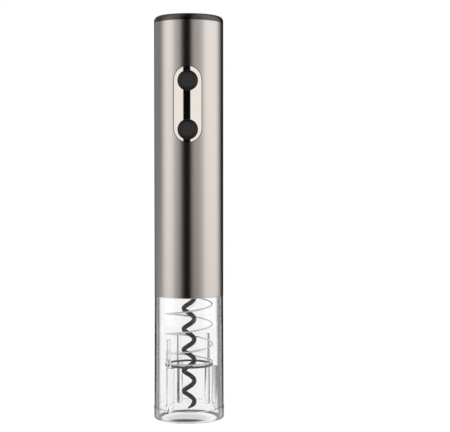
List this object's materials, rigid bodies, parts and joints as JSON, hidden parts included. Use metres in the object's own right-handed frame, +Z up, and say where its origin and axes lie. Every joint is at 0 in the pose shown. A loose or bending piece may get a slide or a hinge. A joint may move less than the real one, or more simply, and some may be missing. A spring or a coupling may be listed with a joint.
{
  "type": "electric wine opener",
  "caption": "Slim upright electric wine opener: satin tube with button plate over a clear cup that shows its worm, sprung neck ring and guide ribs.",
  "frame": {"origin": "centre of the cup's lower rim, on the surface that it stands on", "axes": "+Z up along the tube, -Y towards the buttons, +X to the right seen from the front"},
  "size_m": [0.047, 0.047, 0.2676],
  "materials": {
    "satin_gunmetal": "satin anodised gunmetal",
    "dark_cap": "satin dark grey",
    "polished_plate": "polished, warm silver",
    "black_plastic": "fine matt",
    "clear_plastic": "clear and glossy",
    "dark_ring": "moulded, satin",
    "spring_steel": "bright drawn wire",
    "worm_black": "non-stick black coating",
    "machined_steel": "turned",
    "zinc_screw": "zinc plated",
    "white_gear": "moulded acetal",
    "bronze": "sintered bronze",
    "motor_steel": "zinc plated sheet",
    "magnet_grey": "ferrite",
    "copper_rotor": "laminations and enamelled wire",
    "grey_chassis": "moulded",
    "contact_nickel": "nickel plated",
    "cell_label": "plain printed sleeve",
    "board_green": "solder mask"
  },
  "bodies": {
    "housing": {"body_tube": "satin_gunmetal", "button_panel": "polished_plate", "button_frame": "black_plastic", "extract_switch": "black_plastic", "eject_switch": "black_plastic", "switch_board": "board_green", "clear_cup": "clear_plastic", "cup_screws": "zinc_screw", "ring_gear": "white_gear", "gearbox_lid": "grey_chassis", "output_bush": "bronze", "thrust_washer": "machined_steel", "motor_plate": "motor_steel", "gearbox_screws": "zinc_screw", "motor_can": "motor_steel", "motor_screws": "zinc_screw", "motor_magnets": "magnet_grey", "motor_end_cap": "grey_chassis", "motor_terminals": "contact_nickel", "chassis_left": "grey_chassis", "chassis_right": "grey_chassis", "chassis_screws": "zinc_screw", "battery_holder": "black_plastic", "holder_contacts": "contact_nickel", "battery_cell_1": "cell_label", "battery_cell_2": "cell_label", "battery_cell_3": "cell_label", "battery_cell_4": "cell_label"},
    "worm_drive": {"worm": "worm_black", "worm_chuck": "machined_steel", "chuck_screw": "zinc_screw", "output_carrier": "machined_steel"},
    "first_carrier": {"stage1_carrier": "white_gear"},
    "rotor": {"motor_rotor": "copper_rotor", "motor_pinion": "bronze"},
    "extract_key": {"extract_button": "black_plastic", "extract_plunger": "white_gear"},
    "eject_key": {"eject_button": "black_plastic", "eject_plunger": "white_gear"},
    "ring": {"neck_ring": "dark_ring", "neck_spring": "spring_steel"},
    "cap": {"top_cap": "dark_cap", "contact_carrier": "grey_chassis", "cap_contacts": "contact_nickel"},
    "stage1_planet_1": {"stage1_planet_1": "white_gear"},
    "stage1_planet_2": {"stage1_planet_2": "white_gear"},
    "stage1_planet_3": {"stage1_planet_3": "white_gear"},
    "stage2_planet_1": {"stage2_planet_1": "white_gear"},
    "stage2_planet_2": {"stage2_planet_2": "white_gear"},
    "stage2_planet_3": {"stage2_planet_3": "white_gear"}
  },
  "joints": [
    {"name": "worm_spin", "type": "hinge", "parent": "housing", "child": "worm_drive", "pos_m": [0, 0, 0.12], "axis": [0, 0, 1], "continuous": true},
    {"name": "first_carrier_spin", "type": "hinge", "parent": "housing", "child": "first_carrier", "pos_m": [0, 0, 0.14], "axis": [0, 0, 1], "continuous": true},
    {"name": "rotor_spin", "type": "hinge", "parent": "housing", "child": "rotor", "pos_m": [0, 0, 0.17], "axis": [0, 0, 1], "continuous": true},
    {"name": "stage1_planet_1_spin", "type": "hinge", "parent": "first_carrier", "child": "stage1_planet_1", "pos_m": [0.0084, 0, 0.146], "axis": [0, 0, 1], "continuous": true},
    {"name": "stage1_planet_2_spin", "type": "hinge", "parent": "first_carrier", "child": "stage1_planet_2", "pos_m": [-0.0042, 0.00727, 0.146], "axis": [0, 0, 1], "continuous": true},
    {"name": "stage1_planet_3_spin", "type": "hinge", "parent": "first_carrier", "child": "stage1_planet_3", "pos_m": [-0.0042, -0.00727, 0.146], "axis": [0, 0, 1], "continuous": true},
    {"name": "stage2_planet_1_spin", "type": "hinge", "parent": "worm_drive", "child": "stage2_planet_1", "pos_m": [0.0084, 0, 0.135], "axis": [0, 0, 1], "continuous": true},
    {"name": "stage2_planet_2_spin", "type": "hinge", "parent": "worm_drive", "child": "stage2_planet_2", "pos_m": [-0.0042, 0.00727, 0.135], "axis": [0, 0, 1], "continuous": true},
    {"name": "stage2_planet_3_spin", "type": "hinge", "parent": "worm_drive", "child": "stage2_planet_3", "pos_m": [-0.0042, -0.00727, 0.135], "axis": [0, 0, 1], "continuous": true},
    {"name": "extract_button_press", "type": "slide", "parent": "housing", "child": "extract_key", "axis": [0, 1, 0], "range_m": [0, 0.0008], "stiffness_N_per_m": 500, "springref_m": -0.001},
    {"name": "eject_button_press", "type": "slide", "parent": "housing", "child": "eject_key", "axis": [0, 1, 0], "range_m": [0, 0.0008], "stiffness_N_per_m": 500, "springref_m": -0.001},
    {"name": "neck_ring_slide", "type": "slide", "parent": "housing", "child": "ring", "axis": [0, 0, 1], "range_m": [0, 0.018], "stiffness_N_per_m": 83, "springref_m": -0.01, "deforming": ["neck_spring"]},
    {"name": "cap_lift", "type": "slide", "parent": "housing", "child": "cap", "axis": [0, 0, 1], "range_m": [0, 0.03]}
  ],
  "couplings": [
    {"joint": "first_carrier_spin", "follows": "worm_spin", "ratio": 6},
    {"joint": "rotor_spin", "follows": "worm_spin", "ratio": 36},
    {"joint": "stage1_planet_1_spin", "follows": "worm_spin", "ratio": -15},
    {"joint": "stage1_planet_2_spin", "follows": "worm_spin", "ratio": -15},
    {"joint": "stage1_planet_3_spin", "follows": "worm_spin", "ratio": -15},
    {"joint": "stage2_planet_1_spin", "follows": "worm_spin", "ratio": -2.5},
    {"joint": "stage2_planet_2_spin", "follows": "worm_spin", "ratio": -2.5},
    {"joint": "stage2_planet_3_spin", "follows": "worm_spin", "ratio": -2.5}
  ]
}
